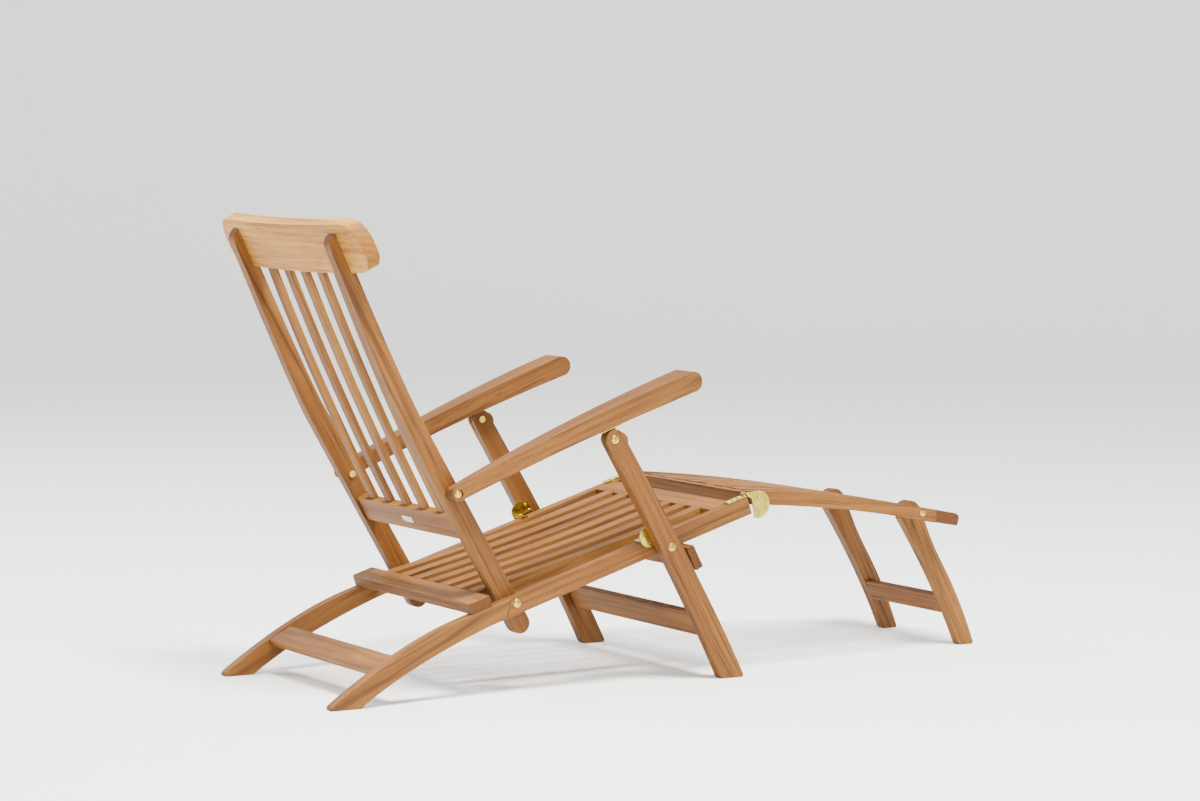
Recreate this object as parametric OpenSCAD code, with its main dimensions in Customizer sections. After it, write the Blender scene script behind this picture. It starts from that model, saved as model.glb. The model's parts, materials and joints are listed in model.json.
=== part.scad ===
// Folding deck chair with a leg rest, in teak with brass fittings.
// +X is the sitter's left, -Y is forward (the foot end) and +Z is up.
// Side outlines are drawn as [y, z], with y counted rearwards from the back pivot.
// Outlines "on the seat" or "on the back" are drawn as [rearwards, up] in that part's own slope.

/* [Overall] */
// Distance of the back pivot behind the middle of the chair
back_pivot_y = 379.5; // [340:0.25:410]
// Thickness of the rails, legs, stiles and other side members
board_t = 24; // [20:1:26]
// Gap between wooden members that pass each other
side_gap = 1.4; // [1:0.1:2]

/* [Bolts and screws] */
// Diameter of the pivot bolts
bolt_d = 8; // [6:0.5:9]
// Diameter of the domed bolt heads
bolt_head_d = 17; // [14:1:20]
// How far the domed bolt heads stand out
bolt_head_h = 3.5; // [3:0.5:5]
// Diameter of the nuts on the inner faces
nut_d = 14; // [12:0.5:16]
// Thickness of the nuts
nut_t = 4; // [3:0.5:4.5]
// Diameter of the screw heads in the brass fittings
screw_head_d = 7; // [5:0.5:8]

/* [Seat] */
// Slope of the seat rails, up towards the front
seat_slope = 17.2; // [17:0.1:17.4]
// Half width over the seat rails
seat_half_w = 250; // [244:1:252]
// Depth of the seat rails
rail_depth = 35; // [33:0.5:35]
// Number of seat slats
seat_slat_count = 7; // [5:1:7]
// Width of a seat slat
seat_slat_w = 28; // [22:1:30]
// Spacing of the seat slats
seat_slat_pitch = 57; // [50:1:57]
// Thickness of the seat slats
seat_slat_t = 20; // [14:1:20]
// Rise of the dished seat slats at their rear ends
seat_dish = 23; // [14:1:24]

/* [Back] */
// Number of back slats
back_slat_count = 5; // [3:1:5]
// Width of a back slat
back_slat_w = 25; // [20:1:30]
// Spacing of the back slats
back_slat_pitch = 73; // [60:1:75]
// Thickness of the back slats
back_slat_t = 11; // [9:1:13]
// Full width of the headboard
headboard_w = 600; // [560:2:610]
// Height of the headboard
headboard_h = 100; // [96:1:110]
// Thickness of the headboard
headboard_t = 28; // [24:1:30]
// Radius of the headboard's curve in plan
headboard_r = 2900; // [2600:50:4000]

/* [Arms] */
// Width of an arm at its front end
arm_front_w = 64; // [60:1:66]
// Width of an arm at its rear end
arm_rear_w = 28; // [26:1:34]

/* [Leg rest] */
// Half width over the leg rest's rails, at the hinge
rest_half_w = 248; // [246:1:249]
// Taper of each leg rest rail, in plan
rest_taper = 6.66; // [6:0.02:7]
// Depth of the leg rest's rails
rest_depth = 27; // [24:1:28]
// Number of leg rest slats
rest_slat_count = 7; // [5:2:7]
// Width of a leg rest slat
rest_slat_w = 24; // [18:1:24]
// Thickness of the leg rest slats
rest_slat_t = 14; // [10:1:14]
// Half width over the leg rest's own legs
rest_leg_half_w = 151; // [150:0.5:154]

/* [Hidden] */
sides = ["left", "right"];

$fn = 48;
teak = "#b07a48";
teak_light = "#c4925f";
brass = "#d2ae4a";

// Fits and small gaps
bolt_fit = 0.08;
open_fit = 0.4;
part_gap = 0.3;
slot_gap = 0.4;
cut = 1;
merge = 0.2;

// Pivots, as [y, z]: the arms and front legs form a parallelogram with the back and the seat
back_pivot = [0, 177];
leg_pivot = [-328, 269];
arm_pivot = [130, 394];
arm_leg_pivot = arm_pivot + leg_pivot - back_pivot;
rest_leg_pivot = [-994, 291];

// Seat
rail_half = rail_depth / 2;
rail_mid_z = 173;
rail_front = 554.5;
rail_in = seat_half_w - board_t;
scarf_top = 8;
scarf_low = 30;
seat_front = 479;
seat_rear = 51;
strap_t = 4;
strap_x = [rail_in + 2, rail_in + 19];
knuckle_d = 10;
pin_d = 5;

// Back
back_origin = [35, 222];
back_lean = 28.44;
headboard_lean = 25;
headboard_at = [360.5, 860.5];
stile_out = rail_in - side_gap;
stile_in = stile_out - board_t;
stile_end = [-20.5, 133.5];
stile_end_r = 20;

// Arms
arm_in = rail_in;
arm_nose = [-371, 592];
arm_nose_r = 20;
arm_tail_r = 13.5;
arm_spot_x = arm_in + arm_rear_w - 0.4;
arm_leaf_t = 2.5;
arm_leaf_top = 24;
arm_leaf_slope = 19.9;

// Front legs
leg_in = seat_half_w + 9;
leg_mid = leg_in + board_t / 2;
leg_top_d = 39;
tang_t = 4;
stop_t = 3;

// Leg rest
ear_t = 3;
rest_leg_in = rest_leg_half_w - board_t;
rest_rear_y = -546;
rest_bar_y = -1031;
rest_bar_half_w = 188;
rest_pitch_rear = 53;
rest_pitch_front = 35;
rest_spot_x = rest_half_w + (rest_leg_pivot.x + 525) * tan(rest_taper) - 1.4;

// ---- Helpers ----

// Points of a curve from a to c that leaves and arrives along the lines through b
function curve(a, b, c, steps = 12) =
    [for (i = [0:steps]) let (t = i / steps) (1 - t) * (1 - t) * a + 2 * t * (1 - t) * b + t * t * c];

// A point on the seat, as [y, z]
function from_seat(p) = [
    p.x * cos(seat_slope) + p.y * sin(seat_slope),
    rail_mid_z - p.x * sin(seat_slope) + p.y * cos(seat_slope)
];

// A point on the back, as [y, z]
function from_back(p) = back_origin + [
    p.x * cos(back_lean) + p.y * sin(back_lean),
    p.y * cos(back_lean) - p.x * sin(back_lean)
];

hinge_pin = from_seat([-557, rail_half + knuckle_d / 2]);

module on_seat() {
    translate([0, rail_mid_z]) rotate(-seat_slope) children();
}

module on_back() {
    translate(back_origin) rotate(-back_lean) children();
}

// Gives a side outline its thickness, from x_in towards the left
module board(x_in, thick) {
    translate([x_in, back_pivot_y, 0]) rotate([90, 0, 90]) linear_extrude(thick) children();
}

// A member that runs across the chair
module cross_member(half) {
    board(-half, 2 * half) children();
}

// Drawn for the left side, and mirrored for the right
module on_side(s) {
    mirror([s == "right" ? 1 : 0, 0, 0]) children();
}

module both_sides() {
    for (s = sides) on_side(s) children();
}

module at_point(x, p) {
    translate([x, back_pivot_y + p.x, p.y]) children();
}

// A rod along X at a point of the side view
module rod(p, x_from, x_to, d) {
    at_point(x_from, p) rotate([0, 90, 0]) cylinder(d = d, h = x_to - x_from);
}

module bolt_hole(p, x_from, x_to) {
    rod(p, x_from - cut, x_to + cut, bolt_d + 2 * bolt_fit);
}

// A domed head standing on the XY plane
module dome(d, h) {
    r = (d * d / 4 + h * h) / (2 * h);
    intersection() {
        cylinder(d = d, h = h);
        translate([0, 0, h - r]) sphere(r = r);
    }
}

// A slotted bolt: the head's flat lies at x_head, and the shank runs inwards to x_end
module slotted_bolt(p, x_head, x_end, slot_angle) {
    slot_w = 2.4;
    slot_deep = 1.8;
    difference() {
        union() {
            rod(p, x_end, x_head + merge, bolt_d);
            at_point(x_head, p) rotate([0, 90, 0]) dome(bolt_head_d, bolt_head_h);
        }
        at_point(x_head + bolt_head_h - slot_deep, p) rotate([slot_angle, 0, 0])
            translate([0, -slot_w / 2, -bolt_head_d]) cube([bolt_head_h, slot_w, 2 * bolt_head_d]);
    }
}

// A round nut on a bolt's inner end, with its outer face at x_face
module round_nut(p, x_face) {
    difference() {
        rod(p, x_face - nut_t, x_face, nut_d);
        bolt_hole(p, x_face - nut_t, x_face);
    }
}

// A slotted screw whose head stands on the XY plane
module screw(length) {
    head_h = 1.6;
    shank_d = 3.6;
    difference() {
        union() {
            translate([0, 0, -length]) cylinder(d = shank_d, h = length + merge);
            dome(screw_head_d, head_h);
        }
        translate([-screw_head_d, -0.5, head_h - 0.7]) cube([2 * screw_head_d, 1, head_h]);
    }
}

module screw_hole(length) {
    translate([0, 0, -length - cut]) cylinder(d = 3.8, h = length + 2 * cut);
}

// ---- Seat frame ----

module at_strap_screws() {
    for (p = [-543, -530, -517])
        at_point((strap_x[0] + strap_x[1]) / 2, from_seat([p, rail_half + strap_t]))
            rotate([-seat_slope, 0, 0]) children();
}

module seat_rail(s) {
    color(teak) on_side(s) difference() {
        board(rail_in, board_t) on_seat() polygon([
            [-rail_front, -rail_half], [-rail_front, rail_half],
            [scarf_top, rail_half], [scarf_low, -rail_half]
        ]);
        bolt_hole(back_pivot, rail_in, seat_half_w);
        bolt_hole(leg_pivot, rail_in, seat_half_w);
        at_strap_screws() screw_hole(18);
    }
}

module rear_leg(s) {
    slope = tan(seat_slope);
    top = from_seat([scarf_top, rail_half]);
    low = from_seat([scarf_low, -rail_half]);
    color(teak) on_side(s) board(rail_in, board_t) polygon(concat(
        [low, top],
        curve([125, top.y - (125 - top.x) * slope], [247, 113.6], [394, 10]),
        [[398, 4], [395, 0], [337, 0]],
        curve([330, 4], [225.7, 75.3], [60, low.y - (60 - low.x) * slope])
    ));
}

module seat_front_rail() {
    color(teak_light) cross_member(rail_in)
        on_seat() translate([-seat_front - 48, rail_half - 22]) square([48, 22]);
}

module seat_rear_board() {
    color(teak_light) cross_member(seat_half_w)
        on_seat() translate([seat_rear, rail_half]) square([47, seat_dish]);
}

module rear_stretcher() {
    color(teak) cross_member(rail_in) polygon([[256, 93], [248, 78.5], [294, 53.7], [302, 68.2]]);
}

// Top of the seat slats, on the seat: level with the rails in front, dished up behind
function seat_line(x) = rail_half + seat_dish * pow((x + seat_front) / (seat_front + seat_rear), 2);

module seat_slat(i) {
    steps = 10;
    xs = [for (k = [0:steps]) -seat_front + (seat_front + seat_rear) * k / steps];
    color(teak_light) board((i - (seat_slat_count + 1) / 2) * seat_slat_pitch - seat_slat_w / 2, seat_slat_w)
        on_seat() polygon(concat(
            [for (x = xs) [x, seat_line(x)]],
            [[seat_rear, rail_half - seat_slat_t], [-seat_front, rail_half - seat_slat_t]]
        ));
}

module back_pivot_bolts() {
    color(brass) both_sides() slotted_bolt(back_pivot, seat_half_w, stile_in - nut_t + 1, 20);
}

module front_leg_bolts() {
    color(brass) both_sides() slotted_bolt(leg_pivot, leg_in + board_t, rail_in - nut_t + 1, 70);
}

module seat_bolt_nuts() {
    color(brass) both_sides() {
        round_nut(back_pivot, stile_in - part_gap);
        round_nut(leg_pivot, rail_in);
    }
}

module front_leg_spacers() {
    color(brass) both_sides() difference() {
        rod(leg_pivot, seat_half_w, leg_in - part_gap, nut_d);
        bolt_hole(leg_pivot, seat_half_w, leg_in);
    }
}

module hinge_strap(s) {
    color(brass) on_side(s) difference() {
        union() {
            board(strap_x[0], strap_x[1] - strap_x[0])
                on_seat() translate([-557, rail_half]) square([48, strap_t]);
            rod(hinge_pin, strap_x[0], strap_x[1], knuckle_d);
        }
        rod(hinge_pin, strap_x[0] - cut, strap_x[1] + cut, pin_d + 2 * bolt_fit);
        at_strap_screws() screw_hole(strap_t);
    }
}

module hinge_strap_screws() {
    color(brass) both_sides() at_strap_screws() screw(16);
}

// ---- Back ----

// The headboard as a plain solid: bent in plan, with its upper and lower corners rounded
module headboard_solid() {
    half = headboard_w / 2;
    top_r = 48;
    low_r = 36;
    mid_y = stile_out * stile_out / (2 * headboard_r) - headboard_r;
    at_point(0, headboard_at) rotate([-headboard_lean, 0, 0]) intersection() {
        translate([0, mid_y, -headboard_h / 2]) linear_extrude(headboard_h) difference() {
            circle(r = headboard_r, $fn = 720);
            circle(r = headboard_r - headboard_t, $fn = 720);
        }
        translate([0, 100, 0]) rotate([90, 0, 0]) linear_extrude(200) union() {
            translate([-half, low_r - headboard_h / 2]) square([2 * half, headboard_h - low_r - top_r]);
            translate([top_r - half, -headboard_h / 2]) square([2 * (half - top_r), headboard_h]);
            translate([low_r - half, -headboard_h / 2]) square([2 * (half - low_r), headboard_h - top_r]);
            for (side = [-1, 1]) {
                translate([side * (half - top_r), headboard_h / 2 - top_r]) circle(r = top_r);
                translate([side * (half - low_r), low_r - headboard_h / 2]) circle(r = low_r);
            }
        }
    }
}

module headboard() {
    color(teak_light) headboard_solid();
}

module back_stile(s) {
    color(teak) on_side(s) difference() {
        board(stile_in, board_t) polygon(concat(
            [for (a = [-30:-15:-210]) stile_end + stile_end_r * [cos(a), sin(a)]],
            curve([190, 532], [236.4, 610.9], [365, 894]),
            curve([365, 894], [392.3, 881.6], [382.4, 859.8], 5),
            curve([382.4, 859.8], [267, 597], [222.8, 512.7])
        ));
        headboard_solid();
        bolt_hole(back_pivot, stile_in, stile_out);
        bolt_hole(arm_pivot, stile_in, stile_out);
    }
}

module back_bottom_rail() {
    color(teak) cross_member(stile_in) on_back() translate([-4, 96]) square([19, 52]);
}

// Rear face of the back slats, on the back
function back_line(b) = 8 - 27.5 * pow((b - 150) / 515, 2);

module back_slat(i) {
    steps = 10;
    bs = [for (k = [0:steps]) 148 + 526 * k / steps];
    color(teak_light) difference() {
        board((i - (back_slat_count + 1) / 2) * back_slat_pitch - back_slat_w / 2, back_slat_w)
            on_back() polygon(concat(
                [for (b = bs) [back_line(b), b]],
                [for (k = [steps:-1:0]) [back_line(bs[k]) - back_slat_t, bs[k]]]
            ));
        headboard_solid();
    }
}

// A small blank plate with two pin heads, on the bottom rail's rear face
module back_plate() {
    plate = [42, 13.5, 1.2];
    color(brass) at_point(2, from_back([15, 121])) rotate([-back_lean - 90, 0, 0]) {
        translate([-plate.x / 2, -plate.y / 2, 0]) cube(plate);
        for (side = [-1, 1]) translate([side * 17, 0, plate.z - merge]) dome(3.4, 1);
    }
}

module arm_pivot_bolts() {
    color(brass) both_sides() {
        slotted_bolt(arm_pivot, arm_spot_x, stile_in - nut_t + 1, -35);
        round_nut(arm_pivot, stile_in);
    }
}

// ---- Arms ----

// A frame at the arm and leg pivot, with its axes along and square to the arm's underside
module at_arm_leaf() {
    at_point(leg_mid, arm_leg_pivot) rotate([-arm_leaf_slope, 0, 0]) children();
}

module at_arm_screws() {
    at_arm_leaf() for (y = [-17, 17])
        translate([0, y, arm_leaf_top - arm_leaf_t]) rotate([180, 0, 0]) children();
}

module arm_leaf() {
    at_arm_leaf() translate([-10, -24, arm_leaf_top - arm_leaf_t]) cube([20, 48, arm_leaf_t]);
}

module arm_side_outline() {
    top_normal = [0.3786, 0.9256];
    low_normal = [0.3564, 0.9343];
    nose_low = arm_nose - arm_nose_r * low_normal;
    tail_low = arm_pivot - arm_tail_r * low_normal;
    nose_top = arm_nose + arm_nose_r * top_normal;
    tail_top = arm_pivot + arm_tail_r * top_normal;
    bow = 14 * low_normal;
    crown = 16 * top_normal;
    translate(arm_nose) circle(r = arm_nose_r);
    translate(arm_pivot) circle(r = arm_tail_r);
    polygon(concat(
        curve(tail_top, (nose_top + tail_top) / 2 + crown, nose_top),
        curve(nose_low, (nose_low + tail_low) / 2 + bow, tail_low)
    ));
}

// The arm seen from above, as [x, y]
module arm_plan_outline() {
    out = arm_in + arm_front_w;
    tail = arm_in + arm_rear_w;
    front = arm_nose.x - arm_nose_r - 1;
    rear = arm_pivot.x + arm_tail_r + 1;
    translate([0, back_pivot_y]) polygon(concat(
        [[arm_in, rear]],
        [[arm_in, front], [out, front]],
        curve([out, -300], [(out + tail) / 2 + 4, (rear - 300) / 2], [tail, rear])
    ));
}

module arm(s) {
    color(teak_light) on_side(s) difference() {
        intersection() {
            board(arm_in, arm_front_w) arm_side_outline();
            translate([0, 0, 300]) linear_extrude(400) arm_plan_outline();
        }
        bolt_hole(arm_pivot, arm_in, arm_spot_x);
        rod(arm_pivot, arm_spot_x, arm_in + arm_front_w, bolt_head_d + 1);
        arm_leaf();
        at_arm_screws() screw_hole(15);
    }
}

// A leaf under the arm, with a tang that drops into the leg's forked top
module arm_bracket(s) {
    tang_d = 24;
    color(brass) on_side(s) difference() {
        union() {
            arm_leaf();
            at_arm_leaf() translate([-tang_t / 2, -tang_d / 2, 0])
                cube([tang_t, tang_d, arm_leaf_top - merge]);
            rod(arm_leg_pivot, leg_mid - tang_t / 2, leg_mid + tang_t / 2, tang_d);
        }
        rod(arm_leg_pivot, leg_in, leg_in + board_t, bolt_d + 2 * open_fit);
        at_arm_screws() screw_hole(arm_leaf_t);
    }
}

module arm_screws(s) {
    color(brass) on_side(s) at_arm_screws() screw(13);
}

// ---- Front leg frame ----

module front_leg_outline() {
    translate(arm_leg_pivot) circle(d = leg_top_d);
    translate(arm_leg_pivot - [8, 6]) circle(d = 42);
    polygon(concat(
        curve([-226.7, 477], [-422, 158], [-494.5, 5]),
        [[-493, 0], [-446, 0]],
        curve([-441, 5], [-362, 172], [-181.3, 476])
    ));
}

module front_leg(s) {
    color(teak) on_side(s) difference() {
        board(leg_in, board_t) front_leg_outline();
        board(leg_mid - tang_t / 2 - slot_gap, tang_t + 2 * slot_gap)
            translate(arm_leg_pivot) rotate(59.1) translate([-14, -50]) square([80, 100]);
        bolt_hole(leg_pivot, leg_in, leg_in + board_t);
        bolt_hole(arm_leg_pivot, leg_in, leg_in + board_t);
        at_stop_screws() screw_hole(15);
    }
}

module front_stretcher() {
    color(teak) cross_member(leg_in)
        translate([-415.6, 108]) rotate(64) square([54, 14], center = true);
}

// Bears on the undersides of the seat rails when the chair is open
module leg_crossbar() {
    gap = 0.5;
    color(teak) difference() {
        cross_member(leg_in + board_t) polygon([
            from_seat([-372, -rail_half - gap]), from_seat([-389, -rail_half - gap]),
            [-400, 227], [-384, 219]
        ]);
        both_sides() board(leg_in - merge / 100, board_t + cut) front_leg_outline();
    }
}

module at_stop_screws() {
    for (p = [[-309, 292], [-300, 303]])
        at_point(leg_in - stop_t, p) rotate([0, -90, 0]) children();
}

// A brass plate on the leg's inner face, with a flange that rests on the seat rail
module leg_stop(s) {
    color(brass) on_side(s) difference() {
        union() {
            board(leg_in - stop_t, stop_t) union() {
                translate([-288, 289]) circle(d = 40);
                polygon([[-288, 309], [-304, 309], [-317, 293], [-312, 283], [-296, 271]]);
            }
            board(rail_in, leg_in - rail_in)
                on_seat() translate([-308, rail_half + part_gap]) square([15, stop_t]);
        }
        at_stop_screws() screw_hole(stop_t);
    }
}

module leg_stop_screws() {
    color(brass) both_sides() at_stop_screws() screw(14);
}

module arm_leg_bolts() {
    color(brass) both_sides() {
        slotted_bolt(arm_leg_pivot, leg_in + board_t, leg_in - nut_t + 1, 40);
        round_nut(arm_leg_pivot, leg_in);
    }
}

// ---- Leg rest ----

// Top line of the leg rest, which arches down towards the front
function rest_line(y) = let (t = (-530 - y) / 560) 365.5 - 39.2 * t - 43.3 * t * t;

function rest_band(rear, front, depth, steps = 12) = concat(
    [for (k = [0:steps]) let (y = rear + (front - rear) * k / steps) [y, rest_line(y)]],
    [for (k = [steps:-1:0]) let (y = rear + (front - rear) * k / steps) [y, rest_line(y) - depth]]
);

// Turns a left side member inwards towards the front, about a point of its outer face
module tapered(x, y, angle) {
    translate([x, back_pivot_y + y, 0]) rotate([0, 0, -angle])
        translate([-x, -back_pivot_y - y, 0]) children();
}

module rest_rail_solid() {
    intersection() {
        tapered(rest_half_w, hinge_pin.x, rest_taper)
            board(rest_half_w - board_t, board_t) polygon(rest_band(-500, -1060, rest_depth));
        cross_member(seat_half_w + board_t)
            polygon([
                [-526, 365], [-539, 318], [-600, 200],
                [rest_bar_y, 200], [rest_bar_y, 400], [-527, 400]
            ]);
    }
}

module at_ear_screws() {
    tapered(rest_half_w, hinge_pin.x, rest_taper)
        for (p = [[-545, 350], [-566, 344]])
            at_point(rest_half_w + ear_t, p) rotate([0, 90, 0]) children();
}

module rest_rail(s) {
    color(teak) on_side(s) difference() {
        rest_rail_solid();
        rod(hinge_pin, rest_half_w - 2 * board_t, seat_half_w + board_t, knuckle_d + 1.6);
        bolt_hole(rest_leg_pivot, rest_leg_in, rest_half_w);
        rod(rest_leg_pivot, rest_spot_x, rest_half_w, bolt_head_d + 1);
        at_ear_screws() screw_hole(17);
    }
}

module rest_rear_rail() {
    color(teak) difference() {
        cross_member(rest_half_w - board_t + 2)
            polygon([[-523, 363], [-545.5, 361.8], [rest_rear_y, 360.5], [rest_rear_y, 337], [-530, 338]]);
        both_sides() rest_rail_solid();
    }
}

module rest_front_bar() {
    color(teak) cross_member(rest_bar_half_w) polygon(concat(
        [[rest_bar_y, rest_line(rest_bar_y) - 27.5], [rest_bar_y, rest_line(rest_bar_y)]],
        curve([-1081, 285.5], [-1091, 283], [-1091, 274], 5),
        [[-1086.5, 258.5]]
    ));
}

module rest_slats() {
    color(teak_light) for (i = [0:rest_slat_count - 1]) {
        k = i - (rest_slat_count - 1) / 2;
        x = k * rest_pitch_rear;
        angle = atan(k * (rest_pitch_rear - rest_pitch_front) / (rest_rear_y - rest_bar_y));
        intersection() {
            tapered(x, rest_rear_y, angle)
                board(x - rest_slat_w / 2, rest_slat_w) polygon(rest_band(-536, -1050, rest_slat_t));
            cross_member(rest_half_w)
                polygon([[rest_rear_y, 200], [rest_bar_y, 200], [rest_bar_y, 400], [rest_rear_y, 400]]);
        }
    }
}

module hinge_ear(s) {
    eye_d = knuckle_d - 2 * part_gap;
    color(brass) on_side(s) difference() {
        tapered(rest_half_w, hinge_pin.x, rest_taper)
            board(rest_half_w, ear_t) union() {
                translate(hinge_pin) circle(d = eye_d);
                polygon([hinge_pin + [0, eye_d / 2], [-542, 364.4], [-535, 350], hinge_pin + [1, -4.4]]);
                intersection() {
                    translate([-551, 338]) circle(d = 56);
                    polygon([[-531, 364], [-545, 294], [-590, 294], [-590, 380], [-531, 380]]);
                }
            }
        rod(hinge_pin, rest_half_w - cut, seat_half_w + board_t, pin_d + 2 * bolt_fit);
        at_ear_screws() screw_hole(ear_t);
    }
}

module hinge_ear_screws() {
    color(brass) both_sides() at_ear_screws() screw(15);
}

module hinge_pins() {
    head_x = rest_half_w + ear_t + 0.8;
    color(brass) both_sides() {
        rod(hinge_pin, strap_x[0] + 1, head_x + merge, pin_d);
        at_point(head_x, hinge_pin) rotate([0, 90, 0]) dome(8, 1.8);
    }
}

module rest_leg_bolts() {
    color(brass) both_sides() {
        slotted_bolt(rest_leg_pivot, rest_spot_x, rest_leg_in - nut_t + 1, 30);
        round_nut(rest_leg_pivot, rest_leg_in - part_gap);
    }
}

// ---- The leg rest's own legs ----

module rest_leg(s) {
    color(teak) on_side(s) difference() {
        board(rest_leg_in, board_t) union() {
            translate([-992, 289]) circle(d = 48);
            translate([-1001, 281]) circle(d = 47);
            polygon(concat(
                curve([-1024.3, 281], [-1029, 268], [-1037, 250], 4),
                curve([-1037.4, 249], [-1052, 215], [-1073, 180], 6),
                curve([-1073.6, 179], [-1124, 97], [-1157, 5], 10),
                [[-1155.5, 0], [-1125, 0]],
                curve([-1121, 4], [-1067, 130], [-969, 278])
            ));
        }
        bolt_hole(rest_leg_pivot, rest_leg_in, rest_leg_half_w);
    }
}

module rest_stretcher() {
    color(teak) cross_member(rest_leg_in)
        polygon([[-1073, 106], [-1090.5, 67.5], [-1104, 73.6], [-1086.5, 112.1]]);
}

module rest_leg_spacers() {
    color(brass) both_sides() difference() {
        rod(rest_leg_pivot, rest_leg_half_w, rest_spot_x - board_t - 0.2, nut_d);
        bolt_hole(rest_leg_pivot, rest_leg_half_w, rest_half_w);
    }
}

// ---- Parts ----

for (s = sides) seat_rail(s);
for (s = sides) rear_leg(s);
seat_front_rail();
seat_rear_board();
rear_stretcher();
for (i = [1:seat_slat_count]) seat_slat(i);
back_pivot_bolts();
front_leg_bolts();
seat_bolt_nuts();
front_leg_spacers();
for (s = sides) hinge_strap(s);
hinge_strap_screws();
for (s = sides) back_stile(s);
headboard();
back_bottom_rail();
for (i = [1:back_slat_count]) back_slat(i);
back_plate();
arm_pivot_bolts();
for (s = sides) arm(s);
for (s = sides) arm_bracket(s);
for (s = sides) arm_screws(s);
for (s = sides) front_leg(s);
front_stretcher();
leg_crossbar();
for (s = sides) leg_stop(s);
leg_stop_screws();
arm_leg_bolts();
for (s = sides) rest_rail(s);
rest_rear_rail();
rest_front_bar();
rest_slats();
for (s = sides) hinge_ear(s);
hinge_ear_screws();
hinge_pins();
rest_leg_bolts();
for (s = sides) rest_leg(s);
rest_stretcher();
rest_leg_spacers();
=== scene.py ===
"""Looks of the folding deck chair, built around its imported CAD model."""
import json
import math
import random
from collections import namedtuple

import bmesh
import bpy
import numpy as np
from mathutils import Matrix, Vector


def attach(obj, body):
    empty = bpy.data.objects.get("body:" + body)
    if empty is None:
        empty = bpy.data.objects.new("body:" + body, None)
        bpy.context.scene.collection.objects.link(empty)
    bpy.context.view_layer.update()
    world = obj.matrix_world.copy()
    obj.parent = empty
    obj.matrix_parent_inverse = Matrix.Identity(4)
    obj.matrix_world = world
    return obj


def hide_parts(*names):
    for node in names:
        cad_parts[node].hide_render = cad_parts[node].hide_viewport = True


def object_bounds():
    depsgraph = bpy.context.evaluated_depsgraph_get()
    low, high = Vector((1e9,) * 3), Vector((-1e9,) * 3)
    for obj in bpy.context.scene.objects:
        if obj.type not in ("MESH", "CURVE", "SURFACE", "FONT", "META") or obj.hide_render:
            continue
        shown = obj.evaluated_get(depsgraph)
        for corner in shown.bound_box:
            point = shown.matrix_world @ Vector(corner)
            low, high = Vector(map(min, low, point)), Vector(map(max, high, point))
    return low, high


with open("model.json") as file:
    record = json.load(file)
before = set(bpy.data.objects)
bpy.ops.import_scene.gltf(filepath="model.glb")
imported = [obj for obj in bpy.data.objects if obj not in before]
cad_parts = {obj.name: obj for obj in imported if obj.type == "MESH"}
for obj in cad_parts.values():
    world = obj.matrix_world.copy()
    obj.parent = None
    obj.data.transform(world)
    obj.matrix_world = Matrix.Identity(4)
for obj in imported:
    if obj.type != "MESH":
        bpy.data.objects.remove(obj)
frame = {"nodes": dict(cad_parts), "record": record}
cad_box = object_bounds()

# Camera, in metres, degrees and millimetres
EYE = Vector((-5.9806, 3.5702, 1.0793))
LOOK_YAW = 120.48
LOOK_PITCH = -4.466
LOOK_ROLL = 0.097
LENS = 103.4
SENSOR_W = 36.0
FAR_CLIP = 100

# Studio: each light's place and disc size in metres, power in watts, and colour
WORLD_STRENGTH = 1.15
LIGHT_TARGET = (0, -0.3, 0.4)
LIGHTS = {
    "key": ((-2.0, 0.6, 5.6), 1.8, 1250, (1, 0.985, 0.955)),
    "fill": ((-6.5, 2.0, 3.2), 2.6, 110, (1, 1, 1)),
    "rim": ((4.0, 3.0, 4.2), 2.5, 260, (1, 1, 1)),
}
FLOOR_DARK = (0.90, 0.90, 0.89, 1)
FLOOR_PALE = (0.94, 0.94, 0.935, 1)

# Softened edges, in metres, and the number of faces across each
WOOD_EDGE = 0.0022
SLAT_EDGE = 0.0016
PLATE_EDGE = 0.0004
FASTENER_EDGE = 0.0002
WOOD_STEPS = 3
METAL_STEPS = 2

# On wood, a face smaller than this is part of a hole's wall, in square metres
HOLE_FACE = 16e-6

# Angles between faces, in degrees: flat enough to join, sharp enough to soften, and shaded as sharp
JOIN_ANGLE = 0.1
SOFTEN_ANGLE = 24
SHARP_ANGLE = 40

# Vertices closer than this are one, in metres
SAME_POINT = 1e-5

# Members in the record's tops slot that aren't as pale as the headboard
PLAIN_TOPS = ("arm_left", "arm_right", "seat_rear_board")

# How pale each kind of board is, from 0 to 1; the others are drawn from OTHER_TONES
TONES = {
    "headboard": 1.0,
    "rear_stretcher": 0.9,
    "seat_rear_board": 0.60,
    "rest_rail": 0.60,
    "rear_leg": 0.52,
    "back_stile": 0.42,
    "seat_rail": 0.42,
    "front_leg": 0.40,
    "front_stretcher": 0.30,
    "arm": 0.26,
}
OTHER_TONES = (0.25, 0.75)
DARK_BOARD = (0.76, 0.69, 0.66, 1)
PALE_BOARD = (1.22, 1.26, 1.30, 1)

# Where a board was cut from its log, in metres: the range along it, and two from its pith
CUT_ALONG = (-5, 5)
CUT_ACROSS = (0.02, 0.05)
CUT_THROUGH = (0.03, 0.09)

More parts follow.
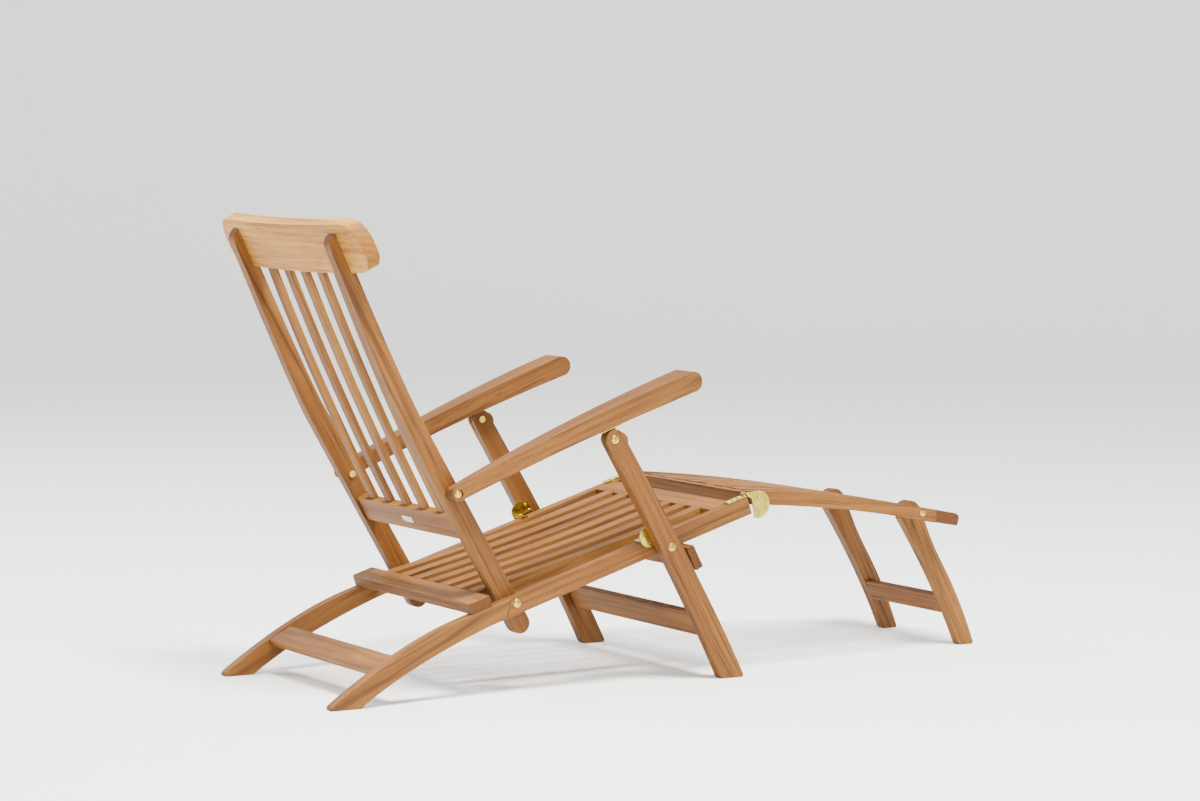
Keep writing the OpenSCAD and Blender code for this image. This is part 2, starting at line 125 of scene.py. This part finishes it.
# Teak: pale, mid and dark colours, the strength of its streaks, and its least roughness
TEAK_FRAME = ((0.224, 0.090, 0.0130, 1), (0.155, 0.0555, 0.0064, 1), (0.040, 0.0118, 0.0015, 1), 0.72, 0.46)
TEAK_TOPS = ((0.440, 0.205, 0.0330, 1), (0.330, 0.140, 0.0185, 1), (0.105, 0.036, 0.0042, 1), 0.50, 0.48)
TEAK_SLATS = ((0.232, 0.095, 0.0140, 1), (0.160, 0.058, 0.0068, 1), (0.044, 0.0130, 0.0016, 1), 0.68, 0.46)
PORE_COLOUR = (0.045, 0.018, 0.006, 1)
END_RING_COLOUR = (0.05, 0.02, 0.008, 1)
WORN_TEAK = (0.34, 0.16, 0.038, 1)
RING_RATE = 150.0
PITH_DRIFT = 0.02
RING_WARP = 0.03
TEAK_SHINE = 0.24

# Brass: bright and dull colours, its least and greatest roughness, and its scratches' repeats in a metre
BRASS_FITTINGS = ((0.52, 0.41, 0.068, 1), (0.32, 0.23, 0.036, 1), 0.16, 0.32, (60, 900, 900))
BRASS_BOLTS = ((0.64, 0.44, 0.09, 1), (0.30, 0.18, 0.04, 1), 0.18, 0.38, (300, 900, 900))
PLATE_METAL = ((0.40, 0.38, 0.32, 1), (0.25, 0.23, 0.18, 1), 0.24, 0.40, (40, 1400, 1400))
CAST_COLOUR = (0.56, 0.36, 0.055, 1)

Board = namedtuple("Board", "middle axes shift tone")


# ---- Camera, lights and floor ----

def make_camera():
    data = bpy.data.cameras.new("camera")
    data.lens = LENS
    data.sensor_width = SENSOR_W
    data.clip_end = FAR_CLIP
    yaw, pitch, roll = map(math.radians, (LOOK_YAW, LOOK_PITCH, LOOK_ROLL))
    look = Vector((math.sin(yaw) * math.cos(pitch), math.cos(yaw) * math.cos(pitch), math.sin(pitch)))
    right = look.cross(Vector((0, 0, 1))).normalized()
    up = right.cross(look)
    level = Matrix((right, up, -look)).transposed()
    camera = bpy.data.objects.new("camera", data)
    camera.matrix_world = Matrix.Translation(EYE) @ (level @ Matrix.Rotation(roll, 3, "Z")).to_4x4()
    bpy.context.scene.collection.objects.link(camera)
    bpy.context.scene.camera = camera


def area_light(name, place, size, power, colour):
    data = bpy.data.lights.new(name, "AREA")
    data.shape = "DISK"
    data.size = size
    data.energy = power
    data.color = colour
    light = bpy.data.objects.new(name, data)
    aim = (Vector(LIGHT_TARGET) - Vector(place)).to_track_quat("-Z", "Y")
    light.matrix_world = Matrix.Translation(place) @ aim.to_matrix().to_4x4()
    bpy.context.scene.collection.objects.link(light)


def make_studio():
    world = bpy.data.worlds.new("studio")
    bpy.context.scene.world = world
    world.use_nodes = True
    background = world.node_tree.nodes["Background"]
    background.inputs["Color"].default_value = (1, 1, 1, 1)
    background.inputs["Strength"].default_value = WORLD_STRENGTH
    for name, facts in LIGHTS.items():
        area_light(name, *facts)


def make_floor():
    """A round studio sweep: a flat floor that curves up into a wall on all sides."""
    flat, bend, wall, flat_rings, around = 9.0, 3.0, 4.0, 6, 96
    profile = [(flat * k / flat_rings, 0) for k in range(1, flat_rings + 1)]
    profile += [(flat + bend * math.sin(a), bend - bend * math.cos(a)) for a in np.radians(range(10, 91, 10))]
    profile.append((flat + bend, bend + wall))
    bm = bmesh.new()
    middle = bm.verts.new((0, 0, 0))
    turn = [2 * math.pi * k / around for k in range(around)]
    rings = [[bm.verts.new((r * math.cos(a), r * math.sin(a), z)) for a in turn] for r, z in profile]
    for k in range(around):
        n = (k + 1) % around
        bm.faces.new((middle, rings[0][k], rings[0][n]))
        for low, high in zip(rings, rings[1:]):
            bm.faces.new((low[k], high[k], high[n], low[n]))
    mesh = bpy.data.meshes.new("floor")
    bm.to_mesh(mesh)
    bm.free()
    mesh.shade_smooth()
    floor = bpy.data.objects.new("floor", mesh)
    floor.location.z = cad_box[0].z
    bpy.context.scene.collection.objects.link(floor)
    material, tree, shader = new_material("floor")
    place = add(tree, "ShaderNodeTexCoord").outputs["Object"]
    tint = mix(tree, noise(tree, place, 0.7, 2), FLOOR_DARK, FLOOR_PALE)
    tree.links.new(tint, shader.inputs["Base Color"])
    shader.inputs["Roughness"].default_value = 0.85
    shader.inputs["Specular IOR Level"].default_value = 0.15
    mesh.materials.append(material)


# ---- Shader building ----

def new_material(name):
    material = bpy.data.materials.new(name)
    material.use_nodes = True
    tree = material.node_tree
    return material, tree, tree.nodes["Principled BSDF"]


def add(tree, kind, inputs=None, **settings):
    """Adds a node; an input given as a socket is linked, and any other value is set."""
    made = tree.nodes.new(kind)
    for name, value in settings.items():
        setattr(made, name, value)
    for key, value in (inputs or {}).items():
        if isinstance(value, bpy.types.NodeSocket):
            tree.links.new(value, made.inputs[key])
        else:
            made.inputs[key].default_value = value
    return made


def calc(tree, operation, a, b=0.0, c=0.0):
    return add(tree, "ShaderNodeMath", {0: a, 1: b, 2: c}, operation=operation).outputs[0]


def mix(tree, factor, a, b, blend="MIX"):
    made = add(tree, "ShaderNodeMix", {0: factor, 6: a, 7: b}, data_type="RGBA", blend_type=blend)
    return made.outputs[2]


def stain(tree, colour, other, mask, amount):
    """Lays another colour over this one where the mask is, by amount at most."""
    return mix(tree, calc(tree, "MULTIPLY", mask, amount), colour, other)


def noise(tree, vector, scale, detail=3.0, rough=0.5, bend=0.0):
    inputs = {"Vector": vector, "Scale": scale, "Detail": detail, "Roughness": rough, "Distortion": bend}
    return add(tree, "ShaderNodeTexNoise", inputs).outputs["Fac"]


def grain_noise(tree, grain, repeats, detail=3.0, rough=0.5, bend=0.0):
    """Noise that repeats so many times in a metre along, across and through the board."""
    drawn = add(tree, "ShaderNodeVectorMath", {0: grain, 1: repeats}, operation="MULTIPLY").outputs[0]
    return noise(tree, drawn, 1.0, detail, rough, bend)


def band(tree, value, low, high, to_low=0.0, to_high=1.0):
    inputs = {"Value": value, "From Min": low, "From Max": high, "To Min": to_low, "To Max": to_high}
    return add(tree, "ShaderNodeMapRange", inputs, interpolation_type="SMOOTHSTEP").outputs["Result"]


def attribute(tree, name):
    return add(tree, "ShaderNodeAttribute", attribute_name=name)


def set_bump(tree, shader, height, strength, distance):
    bump = add(tree, "ShaderNodeBump", {"Height": height, "Strength": strength, "Distance": distance})
    tree.links.new(bump.outputs[0], shader.inputs["Normal"])


# ---- Materials ----

def growth_rings(tree, grain):
    """Rings round a pith beside the board, warped so that they run as long cathedral lines."""
    split = add(tree, "ShaderNodeSeparateXYZ", {0: grain}).outputs
    across = calc(tree, "MULTIPLY_ADD", split[0], PITH_DRIFT, split[1])
    squares = calc(tree, "ADD", calc(tree, "POWER", across, 2.0), calc(tree, "POWER", split[2], 2.0))
    drift = grain_noise(tree, grain, (1.7, 7, 7), 2)
    warped = calc(tree, "MULTIPLY_ADD", drift, RING_WARP, calc(tree, "SQRT", squares))
    wave = calc(tree, "PINGPONG", calc(tree, "MULTIPLY", warped, RING_RATE), 1.0)
    return calc(tree, "POWER", wave, 2.2)


def teak(name, pale, mid, dark, streaks, gloss):
    """Oiled teak. The grain attribute holds (along, across, through) in metres for each board."""
    material, tree, shader = new_material(name)
    grain = attribute(tree, "grain").outputs["Vector"]
    ends = attribute(tree, "ends").outputs["Fac"]
    rim = attribute(tree, "rim").outputs["Fac"]
    tone = attribute(tree, "tone").outputs["Fac"]

    ring = growth_rings(tree, grain)
    cloud = grain_noise(tree, grain, (2.2, 16, 16), 3, 0.55, 0.3)
    streak = grain_noise(tree, grain, (2.6, 75, 75), 5, 0.62, 0.25)
    lines = grain_noise(tree, grain, (3.4, 230, 230), 3, 0.55, 0.2)
    fibre = grain_noise(tree, grain, (14, 620, 620), 3, 0.6)
    pores = band(tree, grain_noise(tree, grain, (55, 1500, 1500), 1), 0.60, 0.72)
    figure = band(tree, grain_noise(tree, grain, (22, 9, 9), 2), 0.55, 0.8)

    colour = mix(tree, band(tree, cloud, 0.34, 0.68), mid, pale)
    colour = stain(tree, colour, dark, band(tree, streak, 0.50, 0.68), streaks)
    colour = stain(tree, colour, dark, band(tree, lines, 0.54, 0.66), 0.55)
    colour = stain(tree, colour, dark, ring, 0.30)
    colour = stain(tree, colour, pale, figure, 0.10)
    colour = stain(tree, colour, dark, band(tree, fibre, 0.35, 0.75), 0.22)
    colour = stain(tree, colour, PORE_COLOUR, pores, 0.35)

    # End grain: darker, with short marks and the rings seen end on; the end faces are also darkened as painted
    # shade, standing in for the shadow they lie in
    flecks = grain_noise(tree, grain, (300, 520, 520), 3, 0.65)
    cut = mix(tree, band(tree, flecks, 0.30, 0.72), dark, mid)
    cut = stain(tree, cut, END_RING_COLOUR, ring, 0.45)
    end_grain_and_shade = band(tree, ends, 0.30, 0.75)
    colour = stain(tree, colour, cut, end_grain_and_shade, 0.9)
    # Painted shade: the end faces are darkened further, standing in for the shadow that falls on them
    colour = stain(tree, colour, dark, end_grain_and_shade, 0.30)

    # Each board has its own tone, from redder and darker to paler and yellower
    colour = mix(tree, 1.0, colour, mix(tree, tone, DARK_BOARD, PALE_BOARD), "MULTIPLY")
    patchy = band(tree, grain_noise(tree, grain, (18, 60, 60), 3), 0.42, 0.62)
    colour = stain(tree, colour, WORN_TEAK, calc(tree, "MULTIPLY", rim, patchy), 0.22)
    tree.links.new(colour, shader.inputs["Base Color"])

    rough = calc(tree, "MULTIPLY_ADD", fibre, 0.22, gloss)
    rough = calc(tree, "MULTIPLY_ADD", end_grain_and_shade, 0.14, rough)
    rough = calc(tree, "MULTIPLY_ADD", rim, -0.05, rough)
    tree.links.new(rough, shader.inputs["Roughness"])
    shader.inputs["Specular IOR Level"].default_value = TEAK_SHINE

    height = calc(tree, "MULTIPLY_ADD", pores, -0.8, fibre)
    height = calc(tree, "MULTIPLY_ADD", ring, -0.5, height)
    height = calc(tree, "MULTIPLY_ADD", calc(tree, "MULTIPLY", flecks, end_grain_and_shade), 0.8, height)
    set_bump(tree, shader, height, 0.35, 0.0004)
    return material


def brass(name, bright, dull, rough_low, rough_high, scratches):
    """Polished brass with faint tarnish, hairline scratches and brighter worn edges."""
    material, tree, shader = new_material(name)
    place = attribute(tree, "grain").outputs["Vector"]
    rim = attribute(tree, "rim").outputs["Fac"]
    tarnish = band(tree, noise(tree, place, 75.0, 4, 0.6, 0.4), 0.40, 0.72)
    cast = band(tree, noise(tree, place, 22.0, 2), 0.35, 0.7)
    scratch = band(tree, grain_noise(tree, place, scratches, 2), 0.60, 0.70)

    colour = mix(tree, tarnish, bright, dull)
    colour = stain(tree, colour, CAST_COLOUR, cast, 0.25)
    colour = stain(tree, colour, bright, rim, 0.5)
    tree.links.new(colour, shader.inputs["Base Color"])
    shader.inputs["Metallic"].default_value = 1.0

    rough = band(tree, tarnish, 0.0, 1.0, rough_low, rough_high)
    rough = calc(tree, "MULTIPLY_ADD", scratch, 0.10, rough)
    rough = calc(tree, "MULTIPLY_ADD", rim, -0.04, rough)
    tree.links.new(rough, shader.inputs["Roughness"])

    height = calc(tree, "MULTIPLY_ADD", scratch, -0.6, calc(tree, "MULTIPLY", tarnish, 0.4))
    set_bump(tree, shader, height, 0.05, 0.0002)
    return material


# ---- Pieces ----

def islands(bm):
    """The bmesh's separate solids, each as a list of faces, always in the same order."""
    seen, found = set(), []
    for start in bm.faces:
        if start in seen:
            continue
        seen.add(start)
        group, front = [start], [start]
        while front:
            for edge in front.pop().edges:
                for face in edge.link_faces:
                    if face not in seen:
                        seen.add(face)
                        group.append(face)
                        front.append(face)
        found.append(group)
    return found


def main_axes(faces):
    """Centre and axes of a solid, longest first, from its surface."""
    centres = np.array([f.calc_center_median()[:] for f in faces])
    areas = np.array([f.calc_area() for f in faces])
    middle = (centres * areas[:, None]).sum(0) / areas.sum()
    points = np.array([v.co[:] for f in faces for v in f.verts])
    share = np.array([f.calc_area() / len(f.verts) for f in faces for v in f.verts])
    gap = points - middle
    _, axes = np.linalg.eigh((gap * share[:, None]).T @ gap)
    return Vector(middle), [Vector(axes[:, k]) for k in (2, 1, 0)]


def soften(bm, width, steps):
    """Rounds the outer edges, other than the rims of holes, and returns the new faces."""
    def hole_wall(face):
        return face.calc_area() < HOLE_FACE and width > PLATE_EDGE
    edges = [
        e for e in bm.edges
        if e.is_manifold and e.is_convex and e.calc_face_angle() > math.radians(SOFTEN_ANGLE)
        and not any(hole_wall(f) for f in e.link_faces)
    ]
    made = bmesh.ops.bevel(
        bm, geom=edges, offset=width, offset_type="OFFSET", segments=steps, profile=0.5,
        affect="EDGES", clamp_overlap=True, loop_slide=True,
    )
    return set(made["faces"])


def make_piece(name, material, width, steps):
    """A softened copy of a CAD node, carrying its own grain directions."""
    kind = name.removesuffix("_left").removesuffix("_right")
    seed = random.Random(name)
    bm = bmesh.new()
    bm.from_mesh(frame["nodes"][name].data)
    bmesh.ops.remove_doubles(bm, verts=bm.verts, dist=SAME_POINT)
    bmesh.ops.dissolve_limit(bm, angle_limit=math.radians(JOIN_ANGLE), verts=bm.verts, edges=bm.edges)
    layers = bm.verts.layers
    grain = layers.float_vector.new("grain")
    axis_layer = layers.float_vector.new("axis")
    tone = layers.float.new("tone")
    rim = layers.float.new("rim")

    # Until the edges are softened, the tone layer holds the number of the vertex's board
    boards = []
    for number, faces in enumerate(islands(bm)):
        middle, axes = main_axes(faces)
        shift = Vector((seed.uniform(*CUT_ALONG), seed.uniform(*CUT_ACROSS), seed.uniform(*CUT_THROUGH)))
        boards.append(Board(middle, axes, shift, TONES.get(kind, seed.uniform(*OTHER_TONES))))
        for vert in {v for f in faces for v in f.verts}:
            vert[tone] = number
    rounded = soften(bm, width, steps)
    for vert in bm.verts:
        board = boards[int(round(vert[tone]))]
        gap = vert.co - board.middle
        vert[grain] = board.shift + Vector([axis.dot(gap) for axis in board.axes])
        vert[axis_layer] = board.axes[0]
        vert[tone] = board.tone
        vert[rim] = float(all(f in rounded for f in vert.link_faces))
    bmesh.ops.recalc_face_normals(bm, faces=bm.faces)

    mesh = bpy.data.meshes.new("look_" + name)
    bm.to_mesh(mesh)
    bm.free()
    mesh.shade_smooth()
    mesh.set_sharp_from_angle(angle=math.radians(SHARP_ANGLE))
    mesh.materials.append(material)
    piece = bpy.data.objects.new("look_" + name, mesh)
    bpy.context.scene.collection.objects.link(piece)
    weigh = piece.modifiers.new("weigh", "WEIGHTED_NORMAL")
    weigh.keep_sharp = True
    weigh.weight = 60
    return piece


def settle(piece, body, node):
    """Applies the piece's modifier, marks its end faces, which the teak darkens as end grain and as painted shade,
    and hands it to the frame.
    """
    view = bpy.context.evaluated_depsgraph_get()
    mesh = bpy.data.meshes.new_from_object(piece.evaluated_get(view), preserve_all_data_layers=True, depsgraph=view)
    piece.modifiers.clear()
    piece.data = mesh
    mesh.name = piece.name
    axes = np.zeros(len(mesh.vertices) * 3)
    mesh.attributes["axis"].data.foreach_get("vector", axes)
    corner_vertex = np.zeros(len(mesh.loops), int)
    mesh.loops.foreach_get("vertex_index", corner_vertex)
    normals = np.zeros(len(mesh.loops) * 3)
    mesh.corner_normals.foreach_get("vector", normals)
    # How squarely each corner faces along its board: the end faces, which the teak darkens as end grain and as
    # painted shade
    along = axes.reshape(-1, 3)[corner_vertex]
    facing = np.abs((normals.reshape(-1, 3) * along).sum(1))
    mesh.attributes.new("ends", "FLOAT", "CORNER").data.foreach_set("value", facing.astype(np.float32))
    mesh.attributes.remove(mesh.attributes["axis"])
    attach(piece, body)
    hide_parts(node)


def node_facts():
    """Each node's name, body and material slot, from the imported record."""
    record = frame["record"]
    slots = {part["node"]: part["material_slot"] for part in record["subparts"]}
    return [(n, body, slots[n]) for body, nodes in record["behaviour"]["bodies"].items() for n in nodes]


make_camera()
make_studio()
make_floor()

looks = {
    "teak": teak("teak", *TEAK_FRAME),
    "tops": teak("teak_tops", *TEAK_TOPS),
    "slats": teak("teak_slats", *TEAK_SLATS),
    "brass": brass("brass_fittings", *BRASS_FITTINGS),
    "fasteners": brass("brass_bolts", *BRASS_BOLTS),
    "plate": brass("plate_metal", *PLATE_METAL),
}
edges = {
    "teak": (WOOD_EDGE, WOOD_STEPS),
    "tops": (WOOD_EDGE, WOOD_STEPS),
    "slats": (SLAT_EDGE, WOOD_STEPS),
    "brass": (PLATE_EDGE, METAL_STEPS),
    "fasteners": (FASTENER_EDGE, METAL_STEPS),
    "plate": (PLATE_EDGE / 2, METAL_STEPS),
}

made = []
for name, body, slot in node_facts():
    look = looks["teak" if name in PLAIN_TOPS else slot]
    made.append((make_piece(name, look, *edges[slot]), body, slot, name))
bpy.context.view_layer.update()
for piece, body, slot, name in made:
    settle(piece, body, name)
